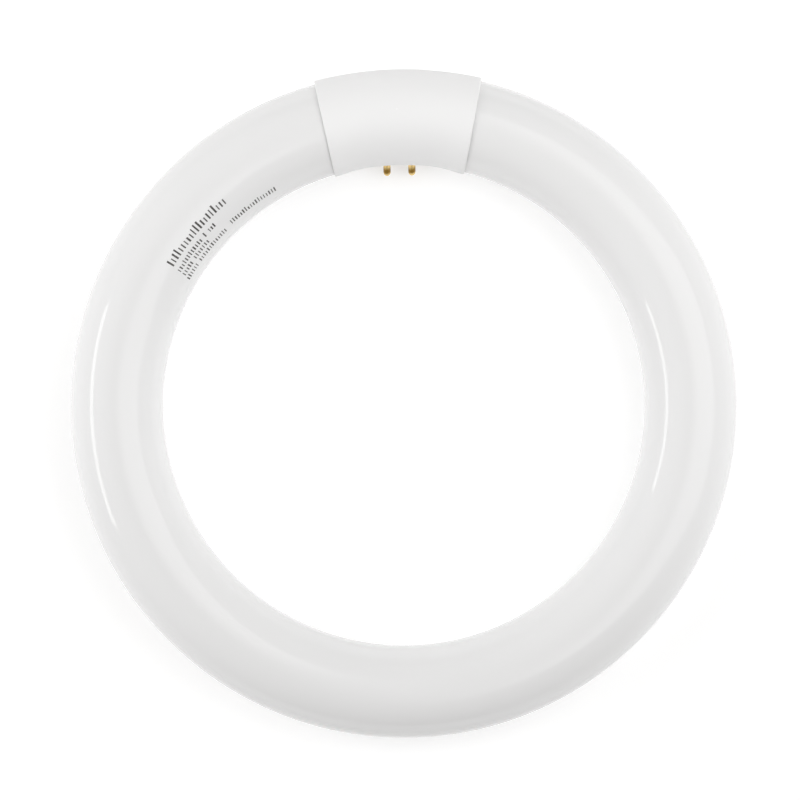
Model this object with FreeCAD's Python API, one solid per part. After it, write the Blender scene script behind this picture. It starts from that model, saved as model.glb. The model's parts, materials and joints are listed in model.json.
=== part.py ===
import FreeCAD, Part
import math
import os

from FreeCAD import Placement, Rotation, Vector

# Circular fluorescent tube: a sealed glass ring whose two ends meet in a plastic base with four pins.
# Millimetres and degrees. Origin at the ring's centre on its mid-plane, +Z to the front, base at +Y.

# Glass ring
ring_outer_diameter = 209.6
tube_diameter = 29.0

# Necked and sealed glass ends, inside the base
glass_insertion = 1.0
neck_step = 1.6
neck_land = 2.0
shoulder_radius = 3.5
funnel_mouth_diameter = 14.0
funnel_floor_diameter = 6.8
funnel_depth = 10.0
exhaust_stub_diameter = 3.2
exhaust_stub_reach = 1.5
stem_clearance = 0.6

# Base: a sleeve, waisted in the middle and flared at its mouths, in two half shells
base_length = 46.7
mouth_slant = 11.4
middle_rise = 0.55
middle_shift = 0.40
mouth_rise = 0.90
mouth_shift = 0.20
flare_length = 10.0
base_wall = 1.1
mouth_clearance = 0.15
mouth_rounding = 0.4
lap_height = 0.8
lap_clearance = 0.05
seam_groove_width = 0.25
seam_groove_depth = 0.15

# Contact pins, on a flat plate that faces inwards and to the rear
pin_diameter = 2.35
pin_reach = 7.1
pin_pitch_along = 7.92
pin_pitch_across = 6.35
pin_tilt = 45.0
pin_face_depth = 1.45
pin_plate_thickness = 2.0
pin_plate_margin = 1.9
pin_plate_draft = 30.0
pin_plate_corner = 0.5
pin_root_diameter = 2.7
pin_hole_clearance = 0.03
pin_collar_diameter = 3.5
pin_collar_thickness = 0.7
pin_nose_length = 1.3
pin_tip_diameter = 0.9
pin_bore_depth = 5.0

# Lead wires, from the glass stems into the hollow pins
wire_diameter = 0.5
wire_pitch = 4.6
wire_clearance = 0.1
wire_run_out = 1.2
wire_lead_in = 3.0
wire_insertion = 4.0
wire_bend_share = 0.4

# Places worked out from the sizes above
tube_radius = tube_diameter / 2
ring_radius = (ring_outer_diameter - tube_diameter) / 2
base_half = base_length / 2
middle_radius = tube_radius + middle_rise
mouth_radius = tube_radius + mouth_rise
bore_middle_radius = middle_radius - base_wall
bore_mouth_radius = tube_radius + mouth_clearance
pin_face = middle_radius - pin_face_depth
pin_plate_inside = pin_face - pin_plate_thickness
pin_collar_inside = pin_plate_inside - pin_collar_thickness
plate_half = pin_pitch_along / 2 + pin_collar_diameter / 2 + pin_plate_margin
plate_end = plate_half + pin_face_depth * math.tan(math.radians(pin_plate_draft))
mouth_angle = math.degrees(math.asin(base_half / ring_radius))
bend_end_angle = mouth_angle - math.degrees(glass_insertion / ring_radius)
neck_radius = tube_radius - neck_step

ORIGIN = Vector(0, 0, 0)
X_AXIS = Vector(1, 0, 0)
Y_AXIS = Vector(0, 1, 0)
Z_AXIS = Vector(0, 0, 1)
REACH = 2 * middle_radius
SLEEVE_STEPS = 5
TOUCHING = 0.001

# Pin frame: origin on the tube's centreline, X along the tube, Z out along the pins
PIN_FRAME = Placement(Vector(0, ring_radius, 0), Rotation(X_AXIS, 90 + pin_tilt))

# Stem frame of the right-hand glass end: origin where the bend stops, Z towards the base's middle
STEM_FRAME = Placement(ORIGIN, Rotation(Z_AXIS, -bend_end_angle)).multiply(
    Placement(Vector(0, ring_radius, 0), Rotation(Y_AXIS, -90))
)

# Mouth frame of the base's right-hand end: X out of the mouth, which leans less than the ring's radius
MOUTH_FRAME = Placement(
    Vector(base_half, math.sqrt(ring_radius**2 - base_half**2), 0), Rotation(Z_AXIS, -mouth_slant)
)


def placed(shape, frame):
    copy = shape.copy()
    copy.Placement = frame.multiply(copy.Placement)
    return copy


def mirrored(shape):
    return shape.mirror(ORIGIN, X_AXIS)


def both_sides(shape):
    return [shape, mirrored(shape)]


def box(x_range, y_range, z_range):
    size = [high - low for low, high in (x_range, y_range, z_range)]
    return Part.makeBox(*size, Vector(x_range[0], y_range[0], z_range[0]))


def revolved(edges):
    face = Part.Face(Part.Wire(edges))
    return face.revolve(ORIGIN, Z_AXIS, 360)


def lines(points):
    vectors = [Vector(radius, 0, along) for radius, along in points]
    return [Part.LineSegment(a, b).toShape() for a, b in zip(vectors, vectors[1:])]


def arc_about(centre, radius, start, end):
    def at(angle):
        turn = math.radians(angle)
        return Vector(centre[0] + radius * math.cos(turn), 0, centre[1] + radius * math.sin(turn))

    return Part.Arc(at(start), at((start + end) / 2), at(end)).toShape()


# Glass ring


def tube_circle(arc, radius, shift):
    """Circle round the tube's centreline, an arc length from the base's middle, moved outwards by shift."""
    circle = Part.makeCircle(radius, ORIGIN, X_AXIS)
    circle.Placement = Placement(Vector(0, ring_radius + shift, 0), Rotation()).multiply(circle.Placement)
    turn = Placement(ORIGIN, Rotation(Z_AXIS, -math.degrees(arc / ring_radius)))
    return Part.Wire([placed(circle, turn)])


def stem_length():
    """Length of a straight glass end, whose leaning end face stops clear of the pin plate."""
    lean = math.radians(bend_end_angle)
    bend_end = STEM_FRAME.multVec(ORIGIN)
    end_x = plate_end + stem_clearance + (neck_radius - shoulder_radius) * math.sin(lean)
    return (bend_end.x - end_x) / math.cos(lean)


def glass_end():
    """Straight end, necked in and closed by a rounded shoulder."""
    end = stem_length()
    shoulder = end - shoulder_radius
    edges = lines([(0, 0), (tube_radius, 0), (neck_radius, shoulder - neck_land), (neck_radius, shoulder)])
    edges.append(arc_about((neck_radius - shoulder_radius, shoulder), shoulder_radius, 0, 90))
    edges += lines([(neck_radius - shoulder_radius, end), (0, end), (0, 0)])
    return placed(revolved(edges), STEM_FRAME)


def stem_funnel():
    """Hollow of the re-entrant stem, cut into the end of the glass."""
    floor = Vector(0, 0, stem_length() - funnel_depth)
    cone = Part.makeCone(funnel_floor_diameter / 2, funnel_mouth_diameter / 2, funnel_depth, floor)
    return placed(cone, STEM_FRAME)


def exhaust_stub():
    """Tipped-off stub of the exhaust tube, which stands in the funnel and is rooted in its floor."""
    radius = exhaust_stub_diameter / 2
    root = stem_length() - funnel_depth - radius
    length = funnel_depth + exhaust_stub_reach
    stub = Part.makeCylinder(radius, length, Vector(0, 0, root))
    tip = Part.makeSphere(radius, Vector(0, 0, root + length))
    return placed(stub.fuse(tip).removeSplitter(), STEM_FRAME)


def glass_tube():
    start = tube_circle(math.radians(bend_end_angle) * ring_radius, tube_radius, 0)
    bend = Part.Face(start).revolve(ORIGIN, Z_AXIS, 2 * bend_end_angle - 360)
    ends = both_sides(glass_end())
    tube = bend.fuse(ends).cut(both_sides(stem_funnel()))
    return tube.fuse(both_sides(exhaust_stub())).removeSplitter()


# Base


def flare(arc):
    """0 in the base's waist, rising smoothly to 1 at its mouths."""
    share = (abs(arc) - base_half + flare_length) / flare_length
    share = min(max(share, 0), 1)
    return share * share * (3 - 2 * share)


def sleeve(waist, mouth):
    """Solid along the tube whose (radius, shift) goes from waist in the middle to mouth past the ends."""
    sections = []
    longest = base_half + tube_radius / 2
    for index in range(-SLEEVE_STEPS, SLEEVE_STEPS + 1):
        arc = longest * index / SLEEVE_STEPS
        share = flare(arc)
        radius, shift = (a + (b - a) * share for a, b in zip(waist, mouth))
        sections.append(tube_circle(arc, radius, shift))
    return Part.makeLoft(sections, True, False)


def past_mouth():
    """Block beyond the right-hand mouth, which trims the sleeve there."""
    block = box((0, REACH), (-REACH, REACH), (-REACH, REACH))
    return placed(block, MOUTH_FRAME)


def pin_places():
    """Name and place in the pin frame of each pin: the front row is the one nearer the ring's mid-plane."""
    for row, across in (("front", pin_pitch_across / 2), ("rear", -pin_pitch_across / 2)):
        for side, along in (("left", -pin_pitch_along / 2), ("right", pin_pitch_along / 2)):
            yield f"{row}_{side}", Vector(along, across, 0)


def pin_face_cut():
    """Wedge-ended block that leaves the flat face which the pins stand on, rounded into its end walls."""
    spread = pin_face_depth * 2 * math.tan(math.radians(pin_plate_draft))
    top = pin_face + 2 * pin_face_depth
    corners = [
        Vector(-plate_half, -middle_radius, pin_face),
        Vector(plate_half, -middle_radius, pin_face),
        Vector(plate_half + spread, -middle_radius, top),
        Vector(-plate_half - spread, -middle_radius, top),
    ]
    face = Part.Face(Part.makePolygon(corners + corners[:1]))
    block = face.extrude(Vector(0, 2 * middle_radius, 0))
    block = block.makeFillet(pin_plate_corner, [e for e in block.Edges if on_plate_end(e)])
    return placed(block, PIN_FRAME)


def on_plate_end(edge):
    """True for an edge across the end of the flat face, in the pin frame."""
    ends = [vertex.Point for vertex in edge.Vertexes]
    at_face = all(abs(end.z - pin_face) < TOUCHING for end in ends)
    return at_face and abs(ends[0].x - ends[1].x) < TOUCHING


def base_body():
    """Both half shells as one: the hollow sleeve with its pin plate, cut at the mouths and rounded there."""
    outside = sleeve((middle_radius, middle_shift), (mouth_radius, mouth_shift))
    hollow = sleeve((bore_middle_radius, middle_shift), (bore_mouth_radius, 0))
    plate = box((-plate_end, plate_end), (-REACH, REACH), (pin_plate_inside, REACH))
    hollow = hollow.cut(placed(plate, PIN_FRAME))
    body = outside.cut([hollow] + both_sides(past_mouth()))
    body = body.makeFillet(mouth_rounding, [e for e in body.Edges if on_mouth_rim(e)])
    return body.cut(pin_face_cut())


def on_mouth_rim(edge):
    """True for the outer edge of a mouth, which the fillet rounds."""
    mid_wall = (bore_mouth_radius + mouth_radius - mouth_shift) / 2
    first, last = edge.ParameterRange
    for share in (0.2, 0.5, 0.8):
        point = edge.valueAt(first + (last - first) * share)
        point.x = abs(point.x)
        point = MOUTH_FRAME.inverse().multVec(point)
        if abs(point.x) > TOUCHING or point.Length < mid_wall:
            return False
    return True


def lap_band(clearance):
    """Inner part of the wall at the seam: the front shell's tongue or, with clearance, its rebate."""
    tongue = (base_wall - lap_clearance) / 2 + clearance
    core = sleeve((bore_middle_radius + tongue, middle_shift), (bore_mouth_radius + tongue, 0))
    half = base_half - flare_length + clearance
    slab = box((-half, half), (0, 2 * ring_radius), (-lap_height - clearance, 0))
    return core.common(slab)


def seam_groove():
    """Fine groove along the outside of the seam, where the two shells' rounded edges meet."""
    waist = (middle_radius - seam_groove_depth, middle_shift)
    mouth = (mouth_radius - seam_groove_depth, mouth_shift)
    half = seam_groove_width / 2
    slab = box((-REACH, REACH), (0, 2 * ring_radius), (-half, half))
    return slab.cut(sleeve(waist, mouth))


def base_shells():
    body = base_body().cut(seam_groove())
    front_half = box((-REACH, REACH), (0, 2 * ring_radius), (0, REACH))
    rear_half = box((-REACH, REACH), (0, 2 * ring_radius), (-REACH, 0))
    front = body.common(front_half.fuse(lap_band(0)))
    holes = []
    for _, place in pin_places():
        hole = Part.makeCylinder(pin_root_diameter / 2 + pin_hole_clearance, REACH, place)
        holes.append(placed(hole, PIN_FRAME))
    rear = body.common(rear_half).cut([lap_band(lap_clearance)] + holes)
    return front, rear


# Contact pins and lead wires


def contact_pin():
    """Hollow turned pin along Z: collar inside the plate, root in its hole, bullet-nosed shank outside."""
    radius = pin_diameter / 2
    bore = wire_diameter / 2 + wire_clearance
    tip = pin_face + pin_reach
    nose = tip - pin_nose_length
    drop = radius - pin_tip_diameter / 2
    nose_radius = (drop**2 + pin_nose_length**2) / (2 * drop)
    nose_end = math.degrees(math.asin(pin_nose_length / nose_radius))
    shank = [
        (bore, pin_collar_inside),
        (pin_collar_diameter / 2, pin_collar_inside),
        (pin_collar_diameter / 2, pin_plate_inside),
        (pin_root_diameter / 2, pin_plate_inside),
        (pin_root_diameter / 2, pin_face),
        (radius, pin_face),
        (radius, nose),
    ]
    inside = [
        (pin_tip_diameter / 2, tip),
        (0, tip),
        (0, pin_collar_inside + pin_bore_depth),
        (bore, pin_collar_inside + pin_bore_depth),
        (bore, pin_collar_inside),
    ]
    edges = lines(shank)
    edges.append(arc_about((radius - nose_radius, nose), nose_radius, 0, nose_end))
    edges += lines(inside)
    return revolved(edges)


def wire_route(place):
    """Corner points of the right-hand lead wire that ends in the pin at place."""
    row = math.copysign(wire_pitch / 2, place.y)
    tilt = math.radians(pin_tilt)
    across = Vector(row * math.cos(tilt), -row * math.sin(tilt), 0)
    alongs = (stem_length() - funnel_depth, stem_length() + wire_run_out)
    stem = [STEM_FRAME.multVec(across + Vector(0, 0, along)) for along in alongs]
    depths = (pin_collar_inside - wire_lead_in, pin_collar_inside + wire_insertion)
    return stem + [PIN_FRAME.multVec(place + Vector(0, 0, depth)) for depth in depths]


def lead_wire(place):
    """Round wire along straight runs, with an arc at each corner as large as its shorter run allows."""
    points = wire_route(place)
    edges = []
    start = points[0]
    for before, corner, after in zip(points, points[1:], points[2:]):
        inwards = (corner - before).normalize()
        onwards = (after - corner).normalize()
        reach = wire_bend_share * min((corner - before).Length, (after - corner).Length)
        turn = inwards.getAngle(onwards)
        enter = corner - inwards * reach
        leave = corner + onwards * reach
        radius = reach / math.tan(turn / 2)
        middle = corner + (onwards - inwards).normalize() * (radius / math.cos(turn / 2) - radius)
        edges.append(Part.LineSegment(start, enter).toShape())
        edges.append(Part.Arc(enter, middle, leave).toShape())
        start = leave
        print(f"wire bend radius {radius:.1f} mm")
    edges.append(Part.LineSegment(start, points[-1]).toShape())
    path = Part.Wire(edges)
    section = Part.Wire([Part.makeCircle(wire_diameter / 2, points[0], points[1] - points[0])])
    wire = path.makePipeShell([section], True, False)
    expected = Part.Face(section).Area * path.Length
    print(f"wire volume over section times length {wire.Volume / expected:.4f}")
    return wire


def main():
    front, rear = base_shells()
    nodes = {"glass_tube": glass_tube(), "base_front_shell": front, "base_rear_shell": rear}
    pin = contact_pin()
    for name, place in pin_places():
        nodes[f"contact_pin_{name}"] = placed(pin, PIN_FRAME.multiply(Placement(place, Rotation())))
        if place.x > 0:
            wire = lead_wire(place)
            nodes[f"lead_wire_{name}"] = wire
            nodes[f"lead_wire_{name.replace('right', 'left')}"] = mirrored(wire)
    os.makedirs("parts", exist_ok=True)
    for name, shape in nodes.items():
        print(name, len(shape.Solids), shape.isValid(), round(shape.Volume, 1))
        shape.Solids[0].exportStep(f"parts/{name}.step")


main()
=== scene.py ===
# %% [markdown]
# # A circular fluorescent tube
# A ring lamp is a glass tube bent into a circle, whose two ends meet inside a short plastic base with four
# brass pins. The glass is milky because its inside is coated with phosphor powder. The lamp can't stand by
# itself, so it lies on its back and the camera looks straight down on it.
#
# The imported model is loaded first. It is the fixed frame: every piece below is made at its real place, in
# metres, and nothing from the frame is ever moved. The ring's centre is the origin, the front faces +Z and
# the base sits at +Y.

# %% Load the frame
import json
import math

import bmesh
import bpy
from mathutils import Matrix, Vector


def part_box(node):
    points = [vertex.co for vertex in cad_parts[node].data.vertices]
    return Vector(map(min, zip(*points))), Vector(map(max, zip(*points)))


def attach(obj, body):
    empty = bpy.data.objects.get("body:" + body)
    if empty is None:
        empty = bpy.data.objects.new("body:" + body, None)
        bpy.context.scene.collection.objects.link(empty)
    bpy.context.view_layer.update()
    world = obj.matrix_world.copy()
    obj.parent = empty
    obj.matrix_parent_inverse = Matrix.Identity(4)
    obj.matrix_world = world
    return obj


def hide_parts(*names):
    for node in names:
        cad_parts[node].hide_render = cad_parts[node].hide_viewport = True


MM = 0.001
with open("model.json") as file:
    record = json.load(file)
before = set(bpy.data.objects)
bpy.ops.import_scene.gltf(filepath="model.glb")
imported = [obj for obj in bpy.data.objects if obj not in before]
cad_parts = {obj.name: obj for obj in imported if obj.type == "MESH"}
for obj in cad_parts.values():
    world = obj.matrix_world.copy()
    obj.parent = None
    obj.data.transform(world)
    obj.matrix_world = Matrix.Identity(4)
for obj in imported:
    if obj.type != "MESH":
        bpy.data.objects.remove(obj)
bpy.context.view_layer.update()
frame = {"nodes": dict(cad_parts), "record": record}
nodes = frame["nodes"]
print("nodes:", ", ".join(sorted(nodes)))

# %% [markdown]
# The main sizes come from the frame itself. The glass node's box gives the tube's radius, which is half
# its height, and the ring's radius, which is half its width less the tube's radius. The two lengths
# written here say where the bend of the glass ends inside the base. They match the solids, because this
# lesson makes the glass again in a finer mesh.

# %% Main sizes
BASE_LENGTH = 46.7 * MM
GLASS_INSERTION = 1.0 * MM

glass_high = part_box("glass_tube")[1]
tube_radius = glass_high.z
ring_radius = glass_high.x - tube_radius
mouth_angle = math.asin(BASE_LENGTH / 2 / ring_radius)
bend_end_angle = mouth_angle - GLASS_INSERTION / ring_radius
print(f"ring radius {ring_radius / MM:.2f} mm, tube radius {tube_radius / MM:.2f} mm")
print(f"the bend stops {math.degrees(bend_end_angle):.2f} degrees from the base's middle")

# %% [markdown]
# ## Node trees as Python expressions
# Materials and Geometry Nodes are both trees of nodes. They could be wired one socket at a time, but a sum
# of three terms is then hard to read. Here a `Signal` stands for one output of a node, and an operator on
# it adds the Math node, so that `1 - mask * 0.2` is already a piece of a tree.


# %% Signals
class Signal:
    """One output of a node. An operator adds the Math node that it stands for."""

    def __init__(self, graph, socket):
        self.graph = graph
        self.socket = socket

    def output(self, name):
        """Another output of the same node."""
        return Signal(self.graph, self.socket.node.outputs[name])

    def __add__(self, other):
        return self.graph.math("ADD", self, other)

    def __sub__(self, other):
        return self.graph.math("SUBTRACT", self, other)

    def __rsub__(self, other):
        return self.graph.math("SUBTRACT", other, self)

    def __mul__(self, other):
        return self.graph.math("MULTIPLY", self, other)

    def __truediv__(self, other):
        return self.graph.math("DIVIDE", self, other)

    def __rtruediv__(self, other):
        return self.graph.math("DIVIDE", other, self)

    __radd__ = __add__
    __rmul__ = __mul__


print("signals ready")

# %% [markdown]
# A `Graph` is the tree that the signals belong to. Its method `node` adds any node: the node's own
# settings first, because they can change its sockets, then the values or links of its sockets. The short
# methods after it are the few kinds of maths and mixing that the finishes and the light below need.


# %% Graphs
class Graph:
    """A node tree under construction."""

    def __init__(self, tree):
        self.tree = tree

    def node(self, kind, settings=None, values=None, output=0):
        """Adds a node and gives one of its outputs."""
        made = self.tree.nodes.new(kind)
        for name, setting in (settings or {}).items():
            setattr(made, name, setting)
        for name, value in (values or {}).items():
            self.feed(made.inputs[name], value)
        return Signal(self, made.outputs[output]) if made.outputs else None

    def feed(self, socket, value):
        """Sets a socket to a value, or links a signal or a list of signals to it."""
        if isinstance(value, list):
            for one in value:
                self.tree.links.new(one.socket, socket)
        elif isinstance(value, Signal):
            self.tree.links.new(value.socket, socket)
        else:
            socket.default_value = value

    def math(self, operation, *values):
        return self.node("ShaderNodeMath", {"operation": operation}, dict(enumerate(values)))

    def blend(self, factor, first, second, mode="MIX"):
        """First colour where the factor is 0, and mixed with the second one where it is 1."""
        settings = {"data_type": "RGBA", "blend_type": mode}
        return self.node("ShaderNodeMix", settings, {0: factor, 6: first, 7: second}, 2)

    def between(self, value, low, high):
        """0 below low, 1 above high, and a smooth rise from one to the other."""
        values = {"Value": value, "From Min": low, "From Max": high}
        return self.node("ShaderNodeMapRange", {"interpolation_type": "SMOOTHSTEP"}, values)

    def span(self, value, rise, fall):
        """Goes from 0 to 1 between the two values of rise, and back to 0 between those of fall."""
        return self.between(value, *rise) * (1 - self.between(value, *fall))


print("graphs ready")

# %% [markdown]
# ## Finishes
# A finish is one material. `new_finish` gives an empty tree with a Principled shader, and each function
# below describes one real surface. Patterns read Object coordinates, which are metres in the lamp's own
# frame, so a noise scale of 100 means features of about 10 mm.


# %% A start for every finish
def new_finish(name, describe):
    material = bpy.data.materials.new(name)
    material.use_nodes = True
    material.node_tree.nodes.clear()
    graph = Graph(material.node_tree)
    place = graph.node("ShaderNodeTexCoord", output="Object")
    shader = graph.node("ShaderNodeBsdfPrincipled", {}, describe(graph, place))
    graph.node("ShaderNodeOutputMaterial", {}, {"Surface": shader})
    print(f"finish {name}: {len(material.node_tree.nodes)} nodes")
    return material


def cloud(graph, place, scale):
    """Soft noise about 0, from about -0.5 to 0.5, with features of about 1 / scale metres."""
    noise = graph.node("ShaderNodeTexNoise", {}, {"Vector": place, "Scale": scale, "Detail": 2.0})
    return noise - 0.5


def relief(graph, height, depth):
    """Bump from a height signal, as deep as depth in metres where the height changes by 1."""
    return graph.node("ShaderNodeBump", {}, {"Height": height, "Strength": 1.0, "Distance": depth})


def grey(level):
    return (level, level, level, 1)


print("tools for finishes ready")

# %% [markdown]
# **Milky glass.** Seen from outside, a coated tube is a white powder behind clear, fire-polished glass: a
# matt white that carries a sharp gloss. The powder is never quite even, so its white drifts a little over
# a few centimetres. The drawn glass is a trace wavy, which makes long reflections waver instead of running
# dead straight.

# %% Milky glass
GLASS_WAVE = 0.02 * MM


def milky_glass(graph, place):
    drift = cloud(graph, place, 28)
    grain = cloud(graph, place, 900)
    powder = graph.blend(drift + 0.5, grey(0.79), grey(0.808))
    return {
        "Base Color": graph.blend(grain * 0.06 + 0.03, powder, grey(0.7)),
        "Roughness": cloud(graph, place, 60) * 0.04 + 0.07,
        "IOR": 1.5,
        "Normal": relief(graph, cloud(graph, place, 55), GLASS_WAVE),
    }


glass_finish = new_finish("milky_glass_finish", milky_glass)

# %% [markdown]
# ** Base plastic.** The base is two moulded half shells in a plain white thermoplastic. It is a little
# whiter and much less glossy than the glass, with the fine grain of a spark-eroded mould. A small round
# mark on the front, off the middle by half a millimetre, is where the plastic was injected. It is raised
# and glossier, and its whiter colour is a painted highlight: a bright spot painted into the plastic.

# %% Base plastic
GATE_RADIUS = 0.6 * MM
GATE_ASIDE = -0.5 * MM
GATE_FROM_CENTRE = 92.0 * MM
MOULD_GRAIN = 0.03 * MM
gate = Vector((GATE_ASIDE, GATE_FROM_CENTRE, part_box("base_front_shell")[1].z))


def base_plastic(graph, place):
    away = graph.node("ShaderNodeVectorMath", {"operation": "DISTANCE"}, {0: place, 1: gate}, "Value")
    # The gate spot is raised and glossier; its whiter base colour is a painted highlight.
    gate_and_glint = 1 - graph.between(away, 0.5 * GATE_RADIUS, GATE_RADIUS)
    drift = cloud(graph, place, 40)
    white = graph.blend(drift + 0.5, grey(0.83), grey(0.85))
    height = cloud(graph, place, 1500) * 0.35 + gate_and_glint
    return {
        "Base Color": graph.blend(gate_and_glint * 0.6, white, grey(0.97)),
        "Roughness": cloud(graph, place, 250) * 0.08 + 0.48 - gate_and_glint * 0.2,
        "IOR": 1.5,
        "Normal": relief(graph, height, MOULD_GRAIN),
    }


plastic_finish = new_finish("base_plastic_finish", base_plastic)

# %% [markdown]
# ** Pin brass.** The pins are turned from brass and left bare. A lathe leaves fine rings across the axis.
# A darker, rougher brown band round each shank between its root and its nose is a painted reflection:
# it stands in for the dark surroundings that the pins mirror there. All four pins point the same way and
# stand on one flat plate, so the distance along that direction, counted from the plate, gives both the
# rings and the painted band. Direction and plate come from the pin mounts of the imported record: a mount
# lies at the middle of a pin's straight shank, so the pin's foot is half a shank further back.

# %% Pin brass
LATHE_RING = 0.004 * MM
PAINTED_BAND_START = (0.45, 0.75)
PAINTED_BAND_END = (0.88, 1.05)
BARE_BRASS = (0.82, 0.61, 0.26, 1)
PAINTED_DARK_REFLECTION = (0.22, 0.12, 0.015, 1)
pin_mounts = [mount for mount in frame["record"]["mounts"] if mount["kind"] == "pin"]
pin_axis = Vector(pin_mounts[0]["axis"])
pin_shank = pin_mounts[0]["dims"]["length_mm"] * MM
pin_feet = [Vector(mount["pos_m"]) - pin_axis * pin_shank / 2 for mount in pin_mounts]
plate_level = pin_feet[0].dot(pin_axis)


def pin_brass(graph, place):
    along = {0: place, 1: pin_axis}
    depth = graph.node("ShaderNodeVectorMath", {"operation": "DOT_PRODUCT"}, along, "Value")
    ring = graph.node("ShaderNodeTexNoise", {"noise_dimensions": "1D"}, {"W": depth, "Scale": 9000.0})
    shank_share = (depth - plate_level) / pin_shank + cloud(graph, place, 500) * 0.25
    # The brown band is a painted reflection: the dark surroundings that the pins mirror, painted round the
    # shank.
    painted_band = graph.span(shank_share, PAINTED_BAND_START, PAINTED_BAND_END)
    return {
        "Base Color": graph.blend(painted_band * 0.85 + 0.1, BARE_BRASS, PAINTED_DARK_REFLECTION),
        "Metallic": 1.0,
        "Roughness": painted_band * 0.12 + ring * 0.06 + 0.13,
        "Normal": relief(graph, ring, LATHE_RING),
    }


brass_finish = new_finish("pin_brass_finish", pin_brass)

# %% [markdown]
# **Lead wire and ink.** The lead wires are drawn nickel-plated wire, bright with a faint streak. The ink
# on the glass is a thin grey ceramic one that is burnt in: matt, and slightly uneven where the stamp
# pressed less.

# %% Lead wire, ink
WIRE_STREAK = 0.004 * MM
INK_GRAIN = 0.004 * MM


def lead_wire(graph, place):
    streak = cloud(graph, place, 1200)
    return {
        "Base Color": graph.blend(streak + 0.5, (0.58, 0.56, 0.53, 1), (0.72, 0.70, 0.66, 1)),
        "Metallic": 1.0,
        "Roughness": streak * 0.15 + 0.28,
        "Normal": relief(graph, streak, WIRE_STREAK),
    }


def stamp_ink(graph, place):
    worn = graph.between(cloud(graph, place, 1400), -0.2, 0.3)
    return {
        "Base Color": graph.blend(worn, (0.05, 0.046, 0.043, 1), (0.12, 0.113, 0.108, 1)),
        "Roughness": worn * 0.15 + 0.45,
        "Normal": relief(graph, worn, INK_GRAIN),
    }


wire_finish = new_finish("lead_wire_finish", lead_wire)
ink_finish = new_finish("stamp_ink_finish", stamp_ink)

# %% [markdown]
# ## Growing a piece with Geometry Nodes
# `grow` makes a tree with one named input for each size, runs it on a mesh of bare points and keeps the
# outcome as a plain mesh. Each modifier input is set by its socket's identifier, before the object is
# evaluated for the first time. Every tree ends by setting the piece's material. `smooth_except` shades a
# mesh smooth and keeps real corners sharp.

# %% Tools for growing pieces
SOCKET_KINDS = {
    float: "NodeSocketFloat",
    int: "NodeSocketInt",
    Vector: "NodeSocketVector",
    bpy.types.Material: "NodeSocketMaterial",
    bpy.types.Object: "NodeSocketObject",
}


def grow(name, build, sizes, points=()):
    tree = bpy.data.node_groups.new(name, "GeometryNodeTree")
    tree.interface.new_socket("Points", in_out="INPUT", socket_type="NodeSocketGeometry")
    tree.interface.new_socket("Geometry", in_out="OUTPUT", socket_type="NodeSocketGeometry")
    for label, value in sizes.items():
        tree.interface.new_socket(label, in_out="INPUT", socket_type=SOCKET_KINDS[type(value)])
    graph = Graph(tree)
    given = graph.node("NodeGroupInput")
    painting = {"Geometry": build(graph, given), "Material": given.output("Material")}
    painted = graph.node("GeometryNodeSetMaterial", {}, painting)
    graph.node("NodeGroupOutput", {}, {"Geometry": painted})
    start = bpy.data.meshes.new(name)
    start.from_pydata(points, [], [])
    piece = bpy.data.objects.new(name, start)
    bpy.context.scene.collection.objects.link(piece)
    modifier = piece.modifiers.new(name, "NODES")
    modifier.node_group = tree
    for item in tree.interface.items_tree:
        if item.name in sizes:
            modifier[item.identifier] = sizes[item.name]
    depsgraph = bpy.context.evaluated_depsgraph_get()
    mesh = bpy.data.meshes.new_from_object(piece.evaluated_get(depsgraph), depsgraph=depsgraph)
    piece.modifiers.remove(modifier)
    piece.data = mesh
    bpy.data.meshes.remove(start)
    mesh.name = name
    return piece


def smooth_except(mesh, corner):
    """Outward faces, smooth shading, and sharp edges where faces turn by more than corner degrees."""
    shape = bmesh.new()
    shape.from_mesh(mesh)
    bmesh.ops.recalc_face_normals(shape, faces=shape.faces)
    open_edges = sum(not edge.is_manifold for edge in shape.edges)
    volume = shape.calc_volume()
    shape.to_mesh(mesh)
    shape.free()
    mesh.shade_smooth()
    mesh.set_sharp_from_angle(angle=math.radians(corner))
    print(f"{mesh.name}: {len(mesh.polygons)} faces, {open_edges} open edges, {volume / MM**3:.1f} mm3")


print("tools for growing pieces ready")

# %% [markdown]
# ## Turning a piece on a lathe
# The ends of the glass and the pins are bodies of revolution. `lathe` turns a profile of (radius, along)
# points about Z. The Screw modifier could do it too, but it leaves a pole as many vertices that have to be
# welded, and here a point on the axis is one vertex from the start. `arc_points` gives the round
# stretches.


# %% Tools for turning pieces
def arc_points(centre, radius, start, end, steps):
    """Points of an arc in a (radius, along) profile, without its first one."""
    turns = [math.radians(start + (end - start) * step / steps) for step in range(1, steps + 1)]
    return [(centre[0] + radius * math.cos(turn), centre[1] + radius * math.sin(turn)) for turn in turns]


def lathe(name, profile, steps):
    """Mesh object turned from (radius, along) points about Z; a radius of 0 closes it on the axis."""
    shape = bmesh.new()
    rings = []
    for radius, along in profile:
        turns = [2 * math.pi * step / steps for step in range(steps if radius else 1)]
        rings.append([shape.verts.new((radius * math.cos(t), radius * math.sin(t), along)) for t in turns])
    for lower, upper in zip(rings, rings[1:]):
        for step in range(steps):
            after = (step + 1) % steps
            corners = [lower[step % len(lower)], lower[after % len(lower)]]
            corners += [upper[after % len(upper)], upper[step % len(upper)]]
            shape.faces.new(dict.fromkeys(corners))
    mesh = bpy.data.meshes.new(name)
    shape.to_mesh(mesh)
    shape.free()
    return bpy.data.objects.new(name, mesh)


print("tools for turning pieces ready")

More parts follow.
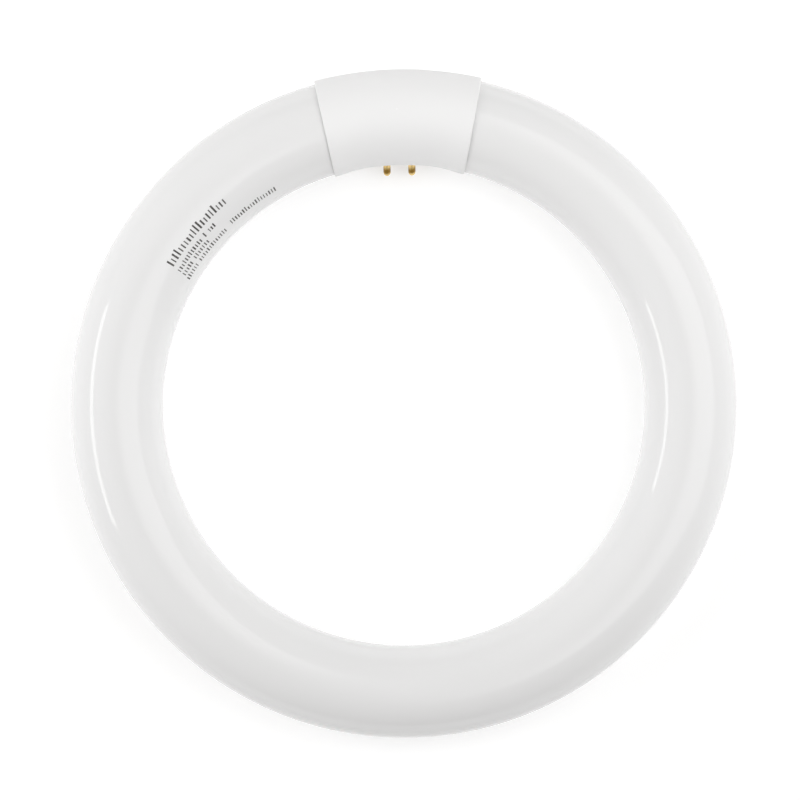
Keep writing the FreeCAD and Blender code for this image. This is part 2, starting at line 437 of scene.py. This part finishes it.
# %% [markdown]
# ## The glass ring
# On the real lamp a straight tube is softened and wound round a drum, so its form is a rule: one circle
# swept along an arc. The node Curve to Mesh is that rule, with even quads all the way round, which is what
# long reflections need. Each end is necked in, closed by a rounded shoulder and has a funnel with the
# tipped-off exhaust stub. One lathe profile is turned for the end, and the tree places a copy on both ends
# of the arc.

# %% Glass end
NECK_STEP = 1.6 * MM
NECK_LAND = 2.0 * MM
SHOULDER_RADIUS = 3.5 * MM
FUNNEL_MOUTH = 7.0 * MM
FUNNEL_FLOOR = 3.4 * MM
FUNNEL_DEPTH = 10.0 * MM
STUB_RADIUS = 1.6 * MM
STUB_REACH = 1.5 * MM
PLATE_END = 8.45 * MM
STEM_CLEARANCE = 0.6 * MM
STEPS_ROUND = 128

neck_radius = tube_radius - NECK_STEP
flat_radius = neck_radius - SHOULDER_RADIUS
end_x = PLATE_END + STEM_CLEARANCE + flat_radius * math.sin(bend_end_angle)
stem_length = (ring_radius * math.sin(bend_end_angle) - end_x) / math.cos(bend_end_angle)
shoulder = stem_length - SHOULDER_RADIUS
stub_top = stem_length + STUB_REACH - STUB_RADIUS
end_profile = [(tube_radius, 0), (neck_radius, shoulder - NECK_LAND), (neck_radius, shoulder)]
end_profile += arc_points((flat_radius, shoulder), SHOULDER_RADIUS, 0, 90, 10)
end_profile += [(FUNNEL_MOUTH, stem_length), (FUNNEL_FLOOR, stem_length - FUNNEL_DEPTH)]
end_profile += [(STUB_RADIUS, stem_length - FUNNEL_DEPTH), (STUB_RADIUS, stub_top)]
end_profile += arc_points((0, stub_top), STUB_RADIUS, 0, 75, 6)
end_profile += [(0, stub_top + STUB_RADIUS)]
glass_end = lathe("glass_end", end_profile, STEPS_ROUND)
print(f"glass end {stem_length / MM:.2f} mm long, {len(glass_end.data.polygons)} faces")

# %% [markdown]
# The copy at an end has to point outwards along the arc, so the tangent is turned round at the arc's
# start. Its vertices then meet those of the sweep one by one, and a weld makes both one closed skin.

# %% Glass ring
STEPS_ALONG = 600
WELD = 0.005 * MM
GLASS_CORNER = 35


def swept_ring(graph, given):
    arc_values = {
        "Resolution": given.output("Steps Along"),
        "Radius": given.output("Ring Radius"),
        "Start Angle": given.output("Start Angle"),
        "Sweep Angle": given.output("Sweep Angle"),
    }
    arc = graph.node("GeometryNodeCurveArc", {"mode": "RADIUS"}, arc_values)
    circle_values = {"Resolution": given.output("Steps Round"), "Radius": given.output("Tube Radius")}
    circle = graph.node("GeometryNodeCurvePrimitiveCircle", {"mode": "RADIUS"}, circle_values)
    bend = graph.node("GeometryNodeCurveToMesh", {}, {"Curve": arc, "Profile Curve": circle})
    at_start = graph.node("GeometryNodeCurveEndpointSelection", {}, {"Start Size": 1, "End Size": 0})
    at_ends = graph.node("GeometryNodeCurveEndpointSelection", {}, {"Start Size": 1, "End Size": 1})
    turning = {"Vector": graph.node("GeometryNodeInputTangent"), "Scale": 1 - at_start * 2}
    outwards = graph.node("ShaderNodeVectorMath", {"operation": "SCALE"}, turning)
    turned = graph.node("FunctionNodeAlignRotationToVector", {"axis": "Z"}, {"Vector": outwards})
    upright = {"Rotation": turned, "Vector": (0, 0, 1)}
    turned = graph.node("FunctionNodeAlignRotationToVector", {"axis": "X", "pivot_axis": "Z"}, upright)
    end = graph.node("GeometryNodeObjectInfo", {}, {"Object": given.output("End")}, "Geometry")
    placing = {"Points": arc, "Selection": at_ends, "Instance": end, "Rotation": turned}
    ends = graph.node("GeometryNodeInstanceOnPoints", {}, placing)
    whole = graph.node("GeometryNodeJoinGeometry", {}, {"Geometry": [bend, ends]})
    whole = graph.node("GeometryNodeRealizeInstances", {}, {"Geometry": whole})
    welding = {"Geometry": whole, "Distance": given.output("Weld")}
    return graph.node("GeometryNodeMergeByDistance", {}, welding)


ring_sizes = {
    "Ring Radius": ring_radius,
    "Tube Radius": tube_radius,
    "Start Angle": math.pi / 2 + bend_end_angle,
    "Sweep Angle": 2 * math.pi - 2 * bend_end_angle,
    "Steps Along": STEPS_ALONG,
    "Steps Round": STEPS_ROUND,
    "End": glass_end,
    "Weld": WELD,
    "Material": glass_finish,
}
glass_ring = grow("glass_ring", swept_ring, ring_sizes)
smooth_except(glass_ring.data, GLASS_CORNER)
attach(glass_ring, "root")
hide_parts("glass_tube")

# %% [markdown]
# ## The contact pins
# Four equal pins stand in a rectangle on the base's flat plate. One pin is turned on the lathe with the
# small edges that a real one has at its collar, root and nose, and a shallow dimple where the wire was
# soldered in. The face of the plate is the profile's zero.

# %% One pin
PIN_RADIUS = 1.175 * MM
PIN_ROOT_RADIUS = 1.35 * MM
PIN_COLLAR_RADIUS = 1.75 * MM
PIN_COLLAR = 0.7 * MM
PIN_PLATE = 2.0 * MM
PIN_NOSE = 1.3 * MM
PIN_TIP_RADIUS = 0.45 * MM
PIN_BORE = 0.35 * MM
PIN_BORE_DEPTH = 5.0 * MM
PIN_EDGE = 0.08 * MM
STEPS_PIN = 48

pin_length = pin_shank + PIN_NOSE
nose_drop = PIN_RADIUS - PIN_TIP_RADIUS
nose_radius = (nose_drop**2 + PIN_NOSE**2) / (2 * nose_drop)
nose_end = math.degrees(math.asin(PIN_NOSE / nose_radius))
collar_low = -PIN_PLATE - PIN_COLLAR
bore_end = collar_low + PIN_BORE_DEPTH
pin_profile = [(0, bore_end), (PIN_BORE, bore_end), (PIN_BORE, collar_low)]
pin_profile += [(PIN_COLLAR_RADIUS - PIN_EDGE, collar_low), (PIN_COLLAR_RADIUS, collar_low + PIN_EDGE)]
pin_profile += [(PIN_COLLAR_RADIUS, -PIN_PLATE), (PIN_ROOT_RADIUS, -PIN_PLATE)]
pin_profile += [(PIN_ROOT_RADIUS, -PIN_EDGE), (PIN_ROOT_RADIUS - PIN_EDGE, 0), (PIN_RADIUS, 0)]
pin_profile += [(PIN_RADIUS, pin_shank)]
pin_profile += arc_points((PIN_RADIUS - nose_radius, pin_shank), nose_radius, 0, nose_end, 8)
pin_profile += [(PIN_TIP_RADIUS - PIN_EDGE, pin_length), (0, pin_length - 2 * PIN_EDGE)]
pin_shape = lathe("pin_shape", pin_profile, STEPS_PIN)
print(f"pin profile of {len(pin_profile)} points, {len(pin_shape.data.polygons)} faces")

# %% [markdown]
# The tree copies the pin to four points, the feet that were worked out from the record's mounts. A copy
# for each point is less work than four objects, and all four can't help being equal.

# %% Four pins
PIN_CORNER = 30


def copies_on_points(graph, given):
    shape = graph.node("GeometryNodeObjectInfo", {}, {"Object": given.output("Shape")}, "Geometry")
    pointing = {"Vector": given.output("Axis")}
    turned = graph.node("FunctionNodeAlignRotationToVector", {"axis": "Z"}, pointing)
    placing = {"Points": given.output("Points"), "Instance": shape, "Rotation": turned}
    copies = graph.node("GeometryNodeInstanceOnPoints", {}, placing)
    return graph.node("GeometryNodeRealizeInstances", {}, {"Geometry": copies})


pin_sizes = {"Shape": pin_shape, "Axis": pin_axis, "Material": brass_finish}
contact_pins = grow("contact_pins", copies_on_points, pin_sizes, pin_feet)
smooth_except(contact_pins.data, PIN_CORNER)
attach(contact_pins, "root")
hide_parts(*(f"contact_{mount['name']}" for mount in pin_mounts))

# %% [markdown]
# ## The rows of ink
# The glass carries a few rows of small ink marks near the base. They could be a pattern in the material,
# but thin slabs keep crisp edges from any distance. A row is a line of slabs on one baseline, with random
# widths and heights and a gap here and there, from a fixed seed. The tree lays the row out flat first,
# along X.

# %% A flat row of strokes
STROKE_WIDTHS = (0.26, 0.5)
STROKE_HEIGHTS = (0.6, 1.0)


def flat_row(graph, given):
    pitch = given.output("Pitch")
    full = given.output("Height")
    seed = given.output("Seed")

    def chance(low, high, offset):
        values = {"Min": low, "Max": high, "Seed": seed + offset}
        return graph.node("FunctionNodeRandomValue", {"data_type": "FLOAT"}, values, "Value")

    step = graph.node("ShaderNodeCombineXYZ", {}, {"X": pitch})
    line_values = {"Count": given.output("Count"), "Offset": step}
    line = graph.node("GeometryNodeMeshLine", {"mode": "OFFSET", "count_mode": "TOTAL"}, line_values)
    chosen = graph.math("GREATER_THAN", chance(0.0, 1.0, 0), given.output("Gaps"))
    wide = pitch * chance(*STROKE_WIDTHS, 1)
    tall = full * chance(*STROKE_HEIGHTS, 2)
    scale = {"X": wide, "Y": tall, "Z": given.output("Thickness")}
    size = graph.node("ShaderNodeCombineXYZ", {}, scale)
    lower = graph.node("ShaderNodeCombineXYZ", {}, {"Y": (tall - full) * 0.5})
    line = graph.node("GeometryNodeSetPosition", {}, {"Geometry": line, "Offset": lower})
    slab_values = {"Size": (1, 1, 1), "Vertices X": 4, "Vertices Y": 4, "Vertices Z": 2}
    slab = graph.node("GeometryNodeMeshCube", {}, slab_values, "Mesh")
    placing = {"Points": line, "Selection": chosen, "Instance": slab, "Scale": size}
    strokes = graph.node("GeometryNodeInstanceOnPoints", {}, placing)
    return graph.node("GeometryNodeRealizeInstances", {}, {"Geometry": strokes})


print("strokes fill", " to ".join(f"{share:.0%}" for share in STROKE_WIDTHS), "of their pitch")

# %% [markdown]
# Then every point of the flat row is wrapped onto the tube. The distance along the row becomes an angle
# round the ring, and the distance across it an angle round the tube. Half a slab's thickness stays outside
# the glass.


# %% Wrapping a row onto the tube
def ink_row(graph, given):
    flat = graph.node("ShaderNodeSeparateXYZ", {}, {"Vector": graph.node("GeometryNodeInputPosition")})
    ring = given.output("Ring Radius")
    tube = given.output("Tube Radius")
    baseline = given.output("Tube Angle")
    row_radius = ring - tube * graph.math("SINE", baseline)
    turn = given.output("Ring Angle") - flat.output("X") / row_radius
    tilt = baseline - flat.output("Y") / tube
    reach = tube + flat.output("Z")
    out = ring - reach * graph.math("SINE", tilt)
    place = {
        "X": out * graph.math("COSINE", turn),
        "Y": out * graph.math("SINE", turn),
        "Z": reach * graph.math("COSINE", tilt),
    }
    wrapped = graph.node("ShaderNodeCombineXYZ", {}, place)
    moving = {"Geometry": flat_row(graph, given), "Position": wrapped}
    return graph.node("GeometryNodeSetPosition", {}, moving)


print("rows will be wrapped at a tube radius of", round(tube_radius / MM, 2), "mm")

# %% The printed field
# Ring angle and tube angle of a row's start in degrees, count of its strokes, their pitch and height in mm
PRINT_ROWS = [
    (147.7, 21.4, 20, 1.35, 3.0),
    (148.0, 36.5, 18, 1.05, 1.8),
    (148.1, 45.7, 13, 1.05, 1.9),
    (148.4, 56.0, 20, 1.00, 2.1),
    (132.2, 53.0, 18, 1.00, 2.2),
]
INK_THICKNESS = 0.04 * MM
INK_GAPS = 0.12
INK_CORNER = 30
FIRST_SEED = 11
SEEDS_A_ROW = 3

rows = []
for number, (ring_angle, tube_angle, count, pitch, height) in enumerate(PRINT_ROWS):
    row_sizes = {
        "Ring Radius": ring_radius,
        "Tube Radius": tube_radius,
        "Ring Angle": math.radians(ring_angle),
        "Tube Angle": math.radians(tube_angle),
        "Count": count,
        "Pitch": pitch * MM,
        "Height": height * MM,
        "Thickness": INK_THICKNESS,
        "Gaps": INK_GAPS,
        "Seed": FIRST_SEED + SEEDS_A_ROW * number,
        "Material": ink_finish,
    }
    rows.append(grow(f"print_row_{number}", ink_row, row_sizes))
tube_print = rows[0]
with bpy.context.temp_override(active_object=tube_print, selected_editable_objects=rows):
    bpy.ops.object.join()
tube_print.name = "tube_print"
tube_print.data.name = "tube_print"
smooth_except(tube_print.data, INK_CORNER)
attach(tube_print, "root")

# %% [markdown]
# ## The base and the lead wires
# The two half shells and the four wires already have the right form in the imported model, with exact
# normals, so they stay and only get their finish. A node's material sits in its mesh's first slot.

# %% Finishes on the frame's own nodes
for name, node in sorted(nodes.items()):
    if name.startswith("base_"):
        node.data.materials[0] = plastic_finish
    if name.startswith("lead_wire"):
        node.data.materials[0] = wire_finish
print("base shells and lead wires have their finish")

# %% [markdown]
# ## Floor, light and camera
# The lamp rests on its two rear pins and on the far side of the ring, so the floor leans by about a degree
# against the lamp's own frame. It is a sheet of white acrylic lit from below, as on a product table, so it
# stays white where the lamp shades it. The glow is its emission, and its colour only has to add the rest.

# %% Floor
FLOOR_RADIUS = 4.0
FLOOR_GLOW = 0.4
pin_contact = min((vertex.co for vertex in contact_pins.data.vertices), key=lambda point: point.z)
slope = (pin_contact.z + tube_radius) / (pin_contact.y + ring_radius)


def pale_floor(graph, place):
    return {
        "Base Color": graph.blend(cloud(graph, place, 8) + 0.5, grey(0.69), grey(0.71)),
        "Roughness": 0.8,
        "Emission Color": grey(1.0),
        "Emission Strength": FLOOR_GLOW,
    }


def floor_height(y):
    return -tube_radius + slope * (y + ring_radius)


shape = bmesh.new()
bmesh.ops.create_circle(shape, cap_ends=True, radius=FLOOR_RADIUS, segments=128)
for vertex in shape.verts:
    vertex.co.z = floor_height(vertex.co.y)
floor_mesh = bpy.data.meshes.new("floor")
shape.to_mesh(floor_mesh)
shape.free()
floor_mesh.materials.append(new_finish("floor_finish", pale_floor))
floor = bpy.data.objects.new("floor", floor_mesh)
bpy.context.scene.collection.objects.link(floor)
print(f"floor leans {math.degrees(math.atan(slope)):.2f} degrees")

# %% [markdown]
# The lamp lies in a white tent whose side walls glow and whose front and back stay dark, so the ring is
# brightest at the left and the right and falls off towards the bottom. A window in the tent's roof, to the
# right, shows as a broad band on the glass. The tent is the world's colour, a function of direction alone:
# the window's edges are given where rays from the lamp meet a roof 1 m up. Every edge is soft, from one
# value to the next.

# %% Tent
WALL_GLOW = 0.96
DARK_SIDE = (0.034, 0.025, 0.018, 1)
WINDOW_GLOW = 1.2
WINDOW_LEFT = (-0.1, 0.3)
WINDOW_RIGHT = (1.35, 1.6)
WINDOW_FRONT = (-0.55, -0.45)
WINDOW_BACK = (0.55, 0.75)
HORIZON = (0.05, 0.1)

world = bpy.data.worlds.new("tent")
world.use_nodes = True
world.node_tree.nodes.clear()
tent = Graph(world.node_tree)
direction = tent.node("ShaderNodeTexCoord", output="Generated")
sideways = tent.node("ShaderNodeSeparateXYZ", {}, {"Vector": direction})
rise = sideways.output("Z")
wall = tent.between(tent.math("ABSOLUTE", sideways), 0.0, 1.0)
window = tent.span(sideways / rise, WINDOW_LEFT, WINDOW_RIGHT)
window = window * tent.span(sideways.output("Y") / rise, WINDOW_FRONT, WINDOW_BACK)
window = window * tent.between(rise, *HORIZON)
walls = tent.blend(wall, DARK_SIDE, grey(WALL_GLOW))
glow = tent.blend(window, walls, grey(WINDOW_GLOW), "ADD")
background = tent.node("ShaderNodeBackground", {}, {"Color": glow})
tent.node("ShaderNodeOutputWorld", {}, {"Surface": background})
bpy.context.scene.world = world
bpy.context.scene.view_settings.view_transform = "Standard"
print(f"tent of {len(world.node_tree.nodes)} nodes")

# %% [markdown]
# The panels stand inside the tent. Four of them only fill: they light the powder and the plastic, and are
# kept out of the gloss, as a pair of crossed polarising filters would do it, so that the glass stays calm.
# Two of these hang over the left and the right of the ring, one stands low behind the base and one far to
# the left. The fifth is a thin strip on the left. It shows in the gloss, as one fine line on each side of
# the ring.


# %% Lights
def panel(name, place, aim, size, radiance, in_gloss=False):
    """Area light that looks at a point. Its power follows from the radiance it should show."""
    light = bpy.data.lights.new(name, "AREA")
    light.shape = "RECTANGLE"
    light.size, light.size_y = size
    light.energy = radiance * math.pi * size[0] * size[1]
    lamp = bpy.data.objects.new(name, light)
    lamp.location = place
    lamp.rotation_mode = "QUATERNION"
    lamp.rotation_quaternion = (Vector(aim) - Vector(place)).to_track_quat("-Z", "Y")
    lamp.visible_camera = False
    lamp.visible_glossy = in_gloss
    bpy.context.scene.collection.objects.link(lamp)
    print(f"{name}: {light.energy:.2f} W")


panel("over_left", (-0.2, 0.05, 0.28), (-0.1, 0.03, 0.0), size=(0.2, 0.3), radiance=0.59)
panel("over_right", (0.2, 0.05, 0.28), (0.1, 0.03, 0.0), size=(0.2, 0.3), radiance=1.31)
panel("close_behind", (0.0, 0.32, 0.22), (0.0, 0.1, 0.0), size=(0.4, 0.2), radiance=0.49)
panel("left_fill", (-0.8, 0.1, 0.6), (0.0, 0.0, 0.0), size=(0.5, 0.6), radiance=1.77)
panel("strip", (-1.2, -0.02, 0.58), (0.0, 0.0, 0.0), size=(0.91, 0.2), radiance=3.2, in_gloss=True)

# %% [markdown]
# The camera looks straight down from 1 m. That distance follows from the outline: perspective makes the
# ring's outer edge grow a little more than its inner edge. It is rolled by about a degree, because the
# base sits just left of the top of the picture, and moved a little so the ring's centre lies where the
# picture has it.

# %% Camera
CAMERA_HEIGHT = 1.0
SENSOR = 36.0
LENS = 142.8
ROLL = math.radians(-1.1)
PICTURE = 800
CENTRE_IN_PICTURE = (404.0, 405.0)

camera_data = bpy.data.cameras.new("camera")
camera_data.sensor_width = SENSOR
camera_data.lens = LENS
camera = bpy.data.objects.new("camera", camera_data)
metres_a_pixel = CAMERA_HEIGHT * SENSOR / LENS / PICTURE
right = (PICTURE / 2 - CENTRE_IN_PICTURE[0]) * metres_a_pixel
up = (CENTRE_IN_PICTURE[1] - PICTURE / 2) * metres_a_pixel
rightwards = Vector((math.cos(ROLL), math.sin(ROLL), 0))
upwards = Vector((-math.sin(ROLL), math.cos(ROLL), 0))
camera.location = rightwards * right + upwards * up + Vector((0, 0, CAMERA_HEIGHT))
camera.rotation_euler = (0, 0, ROLL)
bpy.context.scene.collection.objects.link(camera)
bpy.context.scene.camera = camera
print(f"{metres_a_pixel / MM:.4f} mm a pixel")
